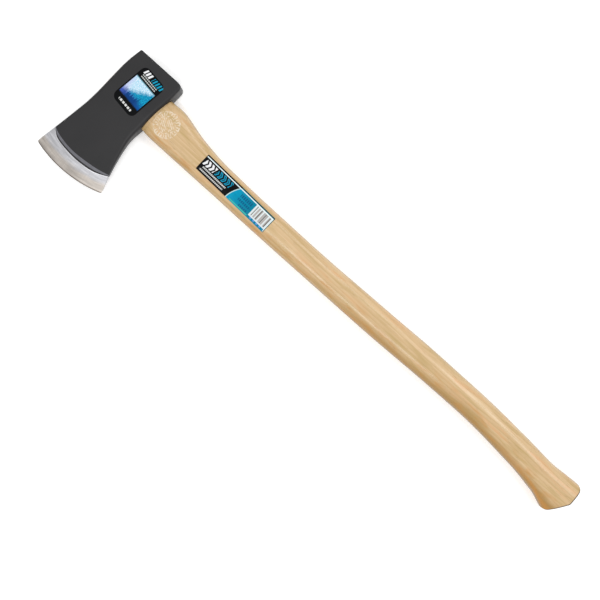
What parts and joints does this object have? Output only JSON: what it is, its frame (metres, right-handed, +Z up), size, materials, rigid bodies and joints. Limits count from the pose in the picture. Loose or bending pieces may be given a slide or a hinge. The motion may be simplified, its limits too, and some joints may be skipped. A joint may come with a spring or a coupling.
{
  "type": "felling axe",
  "caption": "Full-size single-bit felling axe: black forged head with a bare ground bevel, wedged on a long curved lacquered hardwood handle with an oval grip and a flared, cut-off knob.",
  "frame": {"origin": "middle of the axe's outline in X and Y, on the level the lower cheek rests on", "axes": "+X along the handle from the head to the knob, +Y from the cutting edge to the poll, +Z up out of the labelled cheek; the axe lies on its side"},
  "size_m": [0.9292, 0.2066, 0.0328],
  "materials": {
    "head_paint": "satin black paint over forged steel, bare ground bevel at the edge",
    "handle_wood": "clear lacquered hardwood",
    "wedge_wood": "bare sawn hardwood",
    "wedge_steel": "plain rolled steel",
    "head_sticker": "printed gloss film",
    "handle_sticker": "printed gloss film"
  },
  "bodies": {
    "root": {"axe_head": "head_paint", "handle": "handle_wood", "wooden_wedge": "wedge_wood", "steel_wedge_rear": "wedge_steel", "steel_wedge_front": "wedge_steel", "head_label": "head_sticker", "handle_label": "handle_sticker"}
  },
  "joints": []
}
